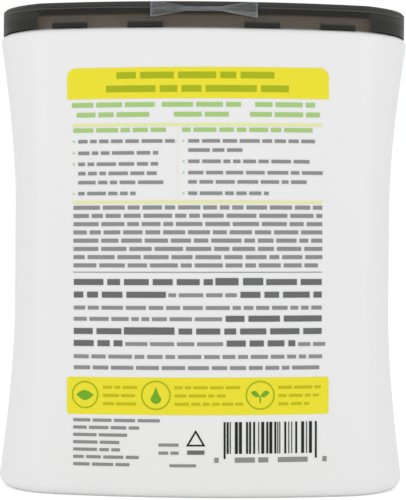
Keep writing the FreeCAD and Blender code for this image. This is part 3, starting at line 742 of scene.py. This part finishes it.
INKS = ("yellow", "lime", "olive", "moss", "leaf", "green", "grey", "slate", "black")
# Places and sizes on the print, in units across and down the photo
MIDDLE_ACROSS, MIDDLE_DOWN = 197.0, 250.0
RINGS = (85.7, 156.7, 259)
RINGS_DOWN, RING_WIDTH = 394.5, 1.5
BARS_LEFT, BARS_RIGHT = 223.0, 317.8
BARS_TOP, BARS_FOOT, LONG_BARS_FOOT = 421, 452.6, 457.6
SEGMENT, CORNER_COLUMNS, ROUNDED_COLUMNS = 4, 9, 40


def across(place):
    """From units across the photo to units right of the layout's middle."""
    return place - MIDDLE_ACROSS


def up(place):
    """From units down the photo to units above the layout's middle."""
    return MIDDLE_DOWN - place


def rounding(near, radius):
    """Drop of a round corner this near to the end: r - sqrt(r^2 - d^2), where d is r less the distance."""
    return radius - np.sqrt(np.maximum(radius**2 - np.maximum(radius - near, 0) ** 2, 0))


class Ink:
    """Flat shapes of one ink, laid out in units from the middle, later bent on to the panel."""

    def __init__(self):
        self.points, self.faces = [], []

    def sheet(self, right, low, high):
        """A strip between two curves over the same places."""
        first, count = len(self.points), len(right)
        upper = first + count
        self.points += list(zip(right, low)) + list(zip(right, high))
        self.faces += [(first + i, first + i + 1, upper + i + 1, upper + i) for i in range(count - 1)]

    def bar(self, left, right, low, high, low_round=0.0, high_round=0.0):
        """A box whose corners at foot and head may be round."""
        radius = max(low_round, high_round)
        spans = [np.linspace(left, right, max(2, math.ceil((right - left) / SEGMENT) + 1))]
        if radius:
            ease = radius * (1 - quarter(CORNER_COLUMNS)[1])
            level = np.linspace(left + radius, right - radius, ROUNDED_COLUMNS)[1:-1]
            spans = [left + ease, level, (right - ease)[::-1]]
        places = np.concatenate(spans)
        near = np.minimum(places - left, right - places)
        self.sheet(places, low + rounding(near, low_round), high - rounding(near, high_round))

    def band(self, outer, inner):
        """A closed strip between two outlines of as many points."""
        first, count = len(self.points), len(outer)
        self.points += list(map(tuple, outer)) + list(map(tuple, inner))
        for i in range(count):
            j = (i + 1) % count
            self.faces.append((first + count + i, first + count + j, first + j, first + i))

    def ring(self, middle, outer, inner, steps):
        """A flat ring."""
        turn = np.linspace(0, -2 * np.pi, steps, endpoint=False)
        circle = np.stack([np.cos(turn), np.sin(turn)], axis=-1)
        self.band(middle + outer * circle, middle + inner * circle)

    def piece(self, name, settings, panel, lift, material):
        """Turns and lifts the shapes on to the panel's cylinder, where an arc s lies at the angle s / R."""
        flat = np.array(self.points) * (settings.unit * settings.spread, settings.unit)
        cosine, sine = math.cos(settings.turn), math.sin(settings.turn)
        arc = flat[:, 0] * cosine - flat[:, 1] * sine + settings.shift
        height = flat[:, 0] * sine + flat[:, 1] * cosine + settings.height
        turn = arc / panel.panel_radius
        radius = panel.panel_radius + lift
        centre = panel.panel_radius - panel.half_depth
        points = np.stack([radius * np.sin(turn), centre - radius * np.cos(turn), height], axis=-1)
        return link_piece(name, points, self.faces, [material], BOTTLE)


class Layout:
    """The whole print, in units across and down the photo: the inks by name and a row of seeded numbers."""

    def __init__(self):
        self.rng = np.random.default_rng(11)
        self.inks = {name: Ink() for name in INKS}

    def field(self, ink, left, right, top, foot, **rounds):
        """A box of one ink."""
        self.inks[ink].bar(across(left), across(right), up(foot), up(top), **rounds)

    def line(self, ink, left, right, middle, height, longest):
        """Plain bars of uneven length that fill a line, with gaps of half their height and 0.9 units more."""
        start, right, middle = across(left), across(right), up(middle)
        gap = 0.5 * height + 0.9
        while start < right - 1:
            end = start + self.rng.uniform(0.28, 1.0) * longest
            end = right if right - end < 0.3 * longest else end
            self.inks[ink].bar(start, end, middle - height / 2, middle + height / 2)
            start = end + gap

    def ring(self, ink, place, down, outer, inner, steps=48):
        """A flat ring of one ink."""
        self.inks[ink].ring((across(place), up(down)), outer, inner, steps)


def draw_bands(layout):
    """Two bright bands, three rules, two heavy lines on the upper band and short lines under it."""
    layout.field("yellow", 66.8, 328.4, 68.2, 99.4, high_round=9.0)
    layout.field("yellow", 66.8, 328.2, 376.8, 414.0, low_round=3.0, high_round=3.0)
    layout.field("lime", 73, 321.5, 201.2, 203.4)
    layout.field("lime", 73, 321.5, 124.3, 126.5)
    layout.field("lime", 178.1, 178.3, 128, 198)
    layout.line("olive", 117.5, 273, 76.2, 6.6, 52)
    layout.line("olive", 107, 287.5, 89.6, 6.6, 52)
    for left, right, middle in (
        (72, 155.5, 105.4), (77, 150, 115.2), (162.5, 240, 105.4), (174.5, 228, 115.2), (254, 314, 105.4),
        (249, 319, 115.2),
    ):
        layout.line("green", left, right, middle, 4.6, 40)
    for left, right in ((73.5, 166.5), (182.5, 311.5)):
        layout.line("green", left, right, 130.6, 4.2, 24)


def draw_columns(layout):
    """Two columns of short lines, some of which start with a bullet."""
    for left, right, middle, bullet in (
        (78.5, 175.3, 141.7, 1), (78.5, 159, 153.4, 1), (78.5, 159, 164.4, 1), (78.5, 157.5, 173.7, 0),
        (78.5, 164, 182.7, 0), (78.5, 136.5, 193.7, 1), (188.4, 314, 141.7, 1), (188.4, 241.5, 150.8, 0),
        (188.4, 308.5, 162, 1), (188.4, 322, 173.2, 1), (188.4, 305.5, 182.4, 0), (188.4, 267.5, 193.7, 1),
    ):
        layout.line("grey", left, right, middle, 3.5, 22)
        if bullet:
            layout.ring("green", left - 4.6, middle, 1.0, 0.05, steps=12)


def draw_small_lines(layout):
    """Eight small lines, a thin rule, and under it lines that are small, heavy or heaviest (0, 1 or 2)."""
    for number in range(8):
        right = 317.1 if number == 7 else 321.6
        layout.line("grey", 73.6, right, 207.8 + 8.23 * number, 4.0, 30)
    layout.field("grey", 73.5, 321.5, 271.8, 272.6)
    inks, heights, longest = ("grey", "slate", "slate"), (3.8, 6.0, 7.2), (24, 34, 60)
    for left, right, middle, heavy in (
        (74, 212.5, 282, 1), (215, 262, 281.5, 2), (265, 321, 282, 1),
        (74, 166.5, 294.6, 1), (169, 236, 295, 0), (239.5, 321, 294.6, 1),
        (74, 321, 307.6, 0),
        (74, 221.5, 318.8, 0), (225, 321, 318.4, 1),
        (74, 122.5, 331, 1), (125, 175, 330.6, 2), (179, 321, 331, 1),
        (74, 123.5, 343, 1), (126.5, 222.5, 343.6, 0), (226, 294, 343, 1), (297, 324.5, 344, 0),
        (74, 321.5, 356.3, 0), (74, 318.5, 367.3, 0),
    ):
        layout.line(inks[heavy], left, right, middle, heights[heavy], longest[heavy])


def draw_rings(layout):
    """Three rings on the lower band, each with a plain motif in it and three lines beside it."""
    for middle, radius, left, reaches in zip(
        RINGS, (13.7, 14.7, 14.5), (104, 175, 277), ((34, 32, 33), (64, 50, 67), (43, 41, 31)),
    ):
        layout.ring("olive", middle, RINGS_DOWN, radius, radius - RING_WIDTH)
        for number, reach in enumerate(reaches):
            layout.line("moss", left, left + reach, 386.8 + 8.2 * number, 2.8, 20)
    for motif, middle in zip((draw_leaf, draw_drop, draw_sprout), RINGS):
        motif(layout.inks["leaf"], across(middle), up(RINGS_DOWN))


def draw_leaf(ink, x, y):
    """A lying leaf: two sine bows, of which the upper one is flatter towards the right."""
    share = np.linspace(0, 1, 17)
    bow = np.sin(np.pi * share)
    ink.sheet(x - 9 + 18 * share, y - 5.4 * bow, y + 5.4 * bow * (1 - 0.35 * share))


def draw_drop(ink, x, y):
    """A drop: a half circle below and a point above."""
    reach = np.linspace(-1, 1, 25)
    belly = np.sqrt(np.maximum(1 - reach**2, 0))
    point = (1 - np.abs(reach)) ** 1.25 * (0.35 + 0.65 * belly)
    ink.sheet(x + 5.4 * reach, y - 3 - 5.4 * belly, y - 3 + 11.5 * point)


def draw_sprout(ink, x, y):
    """A sprout: a leaf of two sine bows either side of a short stalk."""
    share = np.linspace(0, 1, 17)
    bow = np.sin(np.pi * share)
    for way in (-1, 1):
        side = x + way * (0.3 + 9.0 * share)
        low, high = y - 1 + 3.6 * share - 2.4 * bow, y - 1 + 3.6 * share + 3.6 * bow
        rightwards = slice(None, None, way)
        ink.sheet(side[rightwards], low[rightwards], high[rightwards])
    ink.sheet(x + np.array([-0.7, 0.0, 0.7]), y - 8 + np.zeros(3), y + np.array([-1.2, -1.0, -1.2]))


def draw_foot(layout):
    """Seven small lines on the left, a few beside them, and a plain triangle."""
    for number, right in enumerate((160.5, 140.2, 128.2, 120.4, 121, 139.8, 130.5)):
        layout.line("grey", 73.4, right, 419.8 + 7.33 * number, 3.1, 26)
    layout.line("grey", 159.3, 179, 443.8, 3.0, 30)
    layout.line("grey", 159.3, 179, 451.8, 3.0, 30)
    layout.line("slate", 187.4, 204.3, 451.2, 4.2, 30)
    layout.line("grey", 170, 196, 464.3, 2.9, 30)
    turn = np.radians([330, 210, 90])
    corners = np.stack([np.cos(turn), np.sin(turn)], axis=-1)
    middle = (across(195.7), up(439.6))
    layout.inks["black"].band(middle + 11.0 * corners, middle + 7.6 * corners)


def draw_bars(layout):
    """A pattern of bars and gaps of random widths, with longer ones at both ends and in the middle, and grey
    bars under it."""
    for left, right in ((213.8, 218.2), (234, 267), (276.5, 306.5), (321.8, 326.2)):
        layout.line("grey", left, right, 458.8, 5.0, 40)
    place, dark = BARS_LEFT, True
    while place < BARS_RIGHT - 0.3:
        wide = float(layout.rng.integers(1, 4 if dark else 5))
        if dark:
            long = place < 226 or 268 < place < 273 or place > 313
            foot = LONG_BARS_FOOT if long else BARS_FOOT
            layout.field("black", place, min(place + wide, BARS_RIGHT), BARS_TOP, foot)
        place, dark = place + wide, not dark


def ink_finish(name, shade):
    """Screen-printed ink: an even film with slightly uneven cover and a faint edge-on gloss."""
    finish = Finish(name)
    cover = finish.noise(520.0, 3.0, 0.6)
    drift = finish.noise(22.0, 2.0)
    shade = tuple(shade)
    lighter = tuple(min(1.0, channel * 1.06 + 0.006) for channel in shade)
    tone = finish.mix(cover * 0.6 + drift * 0.4, shade, lighter)
    relief = finish.bump(cover, 0.004 * MM, 0.4)
    return finish.done(Base_Color=tone, Roughness=0.34 + 0.08 * cover, Normal=relief, Specular_IOR_Level=0.1)


class TUB_OT_print_panel(bpy.types.Operator):
    """Prints the back panel: fields of colour, plain lines, rings with motifs and a pattern of bars"""

    bl_idname = "tub.print_panel"
    bl_label = "Print Panel"

    def execute(self, context):
        settings, panel = context.scene.tub_print, context.scene.tub_bottle
        layout = Layout()
        for draw in (draw_bands, draw_columns, draw_small_lines, draw_rings, draw_foot, draw_bars):
            draw(layout)
        for name, ink in layout.inks.items():
            lift = settings.lift * (1 if name == "yellow" else 2)
            material = ink_finish(f"ink_{name}", getattr(settings, name))
            ink.piece(f"print_{name}", settings, panel, lift, material)
        return {"FINISHED"}


# Stage

FLOOR_REACH = 6.0
SENSOR_WIDTH = 36.0
# Each lamp's name, place, turn in degrees, size and power
LAMPS = (
    ("front_softbox", (-0.05, -1.5, 0.55), (73, 0, -2), 1.6, 4.4),
    ("left_softbox", (-1.3, -0.5, 0.5), (72, 0, -69), 1.0, 2.8),
    ("right_softbox", (1.3, -0.5, 0.5), (72, 0, 69), 1.0, 2.8),
    ("top_softbox", (0.0, 0.2, 1.5), (0, 0, 0), 1.2, 0.6),
)


def soft_light(name, place, degrees, size, power):
    """A large square lamp."""
    lamp = bpy.data.lights.new(name, "AREA")
    lamp.shape, lamp.size, lamp.energy = "SQUARE", size, power
    holder = bpy.data.objects.new(name, lamp)
    holder.location, holder.rotation_euler = place, Euler([math.radians(turn) for turn in degrees])
    bpy.context.scene.collection.objects.link(holder)


def photo_camera(settings, back):
    """The camera at the photo's place, level and turned a little about its own line of sight."""
    lens = bpy.data.cameras.new("camera")
    lens.lens, lens.sensor_width, lens.sensor_fit = settings.lens, SENSOR_WIDTH, "AUTO"
    lens.clip_start, lens.clip_end = 0.01, 50.0
    camera = bpy.data.objects.new("camera", lens)
    camera.location = (settings.side, back - settings.distance, settings.eye)
    camera.rotation_euler = Euler((math.pi / 2, -settings.roll, 0.0), "XZY")
    bpy.context.scene.collection.objects.link(camera)
    return camera


def floor_finish():
    """A pale, matt floor that the camera sees near white, apart from the tub's shadow."""
    finish = Finish("pale_floor")
    shade = finish.mix(finish.noise(40.0, 2.0), (0.93, 0.93, 0.93), (0.95, 0.95, 0.95))
    seen = finish.node("ShaderNodeLightPath", {}, {}, "Is Camera Ray")
    glow = finish.mix(seen, (0.12, 0.12, 0.12), (0.30, 0.30, 0.30))
    return finish.done(
        Base_Color=shade, Roughness=0.9, Specular_IOR_Level=0.1, Emission_Color=glow, Emission_Strength=1.0)


def studio_world(strength):
    """Even light from all round, which shows as plain white to the camera and through clear plastic."""
    world = bpy.data.worlds.new("studio")
    recipe = Recipe(world)
    white = (1.0, 1.0, 1.0)
    direct = recipe.node("ShaderNodeLightPath", {}, {}, "Is Camera Ray")
    through = recipe.node("ShaderNodeLightPath", {}, {}, "Is Transmission Ray")
    dome = recipe.node("ShaderNodeBackground", {}, {"Color": white, "Strength": strength})
    plain = recipe.node("ShaderNodeBackground", {}, {"Color": white})
    either = recipe.node("ShaderNodeMixShader", {}, {0: recipe.greatest(direct, through), 1: dome, 2: plain})
    recipe.node("ShaderNodeOutputWorld", {}, {"Surface": either})
    return world


class TUB_OT_set_stage(bpy.types.Operator):
    """Lays the floor and sets the soft lights and the camera"""

    bl_idname = "tub.set_stage"
    bl_label = "Set Stage"

    def execute(self, context):
        scene, settings = context.scene, context.scene.tub_stage
        scene.camera = photo_camera(settings, -scene.tub_bottle.half_depth)
        corners = FLOOR_REACH * np.array([(-1, -1, 0), (1, -1, 0), (1, 1, 0), (-1, 1, 0)])
        floor = link_piece("floor", corners, [(0, 1, 2, 3)], [floor_finish()], smooth=False)
        scene.world = studio_world(settings.dome)
        for lamp in LAMPS:
            soft_light(*lamp)
        return {"FINISHED"}


# Add-on

SETTINGS = {
    "tub_bottle": BottleSettings, "tub_closure": ClosureSettings, "tub_tablets": TabletSettings,
    "tub_print": PrintSettings, "tub_stage": StageSettings,
}
OPERATORS = {
    TUB_OT_mould_bottle: "tub_bottle", TUB_OT_tint_closure: "tub_closure", TUB_OT_form_hinge: "tub_closure",
    TUB_OT_wrap_tablets: "tub_tablets", TUB_OT_print_panel: "tub_print", TUB_OT_set_stage: "tub_stage",
}


class TUB_PT_parts(bpy.types.Panel):
    """Lists the tub's pieces and their settings"""

    bl_idname = "TUB_PT_parts"
    bl_label = "Tablet Tub"
    bl_space_type = "VIEW_3D"
    bl_region_type = "UI"
    bl_category = "Tablet Tub"

    def draw(self, context):
        for operator, group in OPERATORS.items():
            box = self.layout.box()
            box.operator(operator.bl_idname)
            for key in SETTINGS[group].__annotations__:
                box.prop(getattr(context.scene, group), key)


def register():
    """Registers the settings, operators and panel."""
    for name, group in SETTINGS.items():
        bpy.utils.register_class(group)
        setattr(bpy.types.Scene, name, PointerProperty(type=group))
    for kind in (*OPERATORS, TUB_PT_parts):
        bpy.utils.register_class(kind)


def unregister():
    """Undoes register."""
    for kind in (TUB_PT_parts, *reversed(OPERATORS)):
        bpy.utils.unregister_class(kind)
    for name, group in SETTINGS.items():
        delattr(bpy.types.Scene, name)
        bpy.utils.unregister_class(group)


def main():
    """Builds everything."""
    register()
    bpy.context.scene.view_settings.view_transform = "Standard"
    bpy.ops.tub.set_stage()
    bpy.ops.tub.mould_bottle()
    bpy.ops.tub.tint_closure()
    bpy.ops.tub.form_hinge()
    bpy.ops.tub.wrap_tablets()
    bpy.ops.tub.print_panel()


if __name__ == "__main__":
    main()
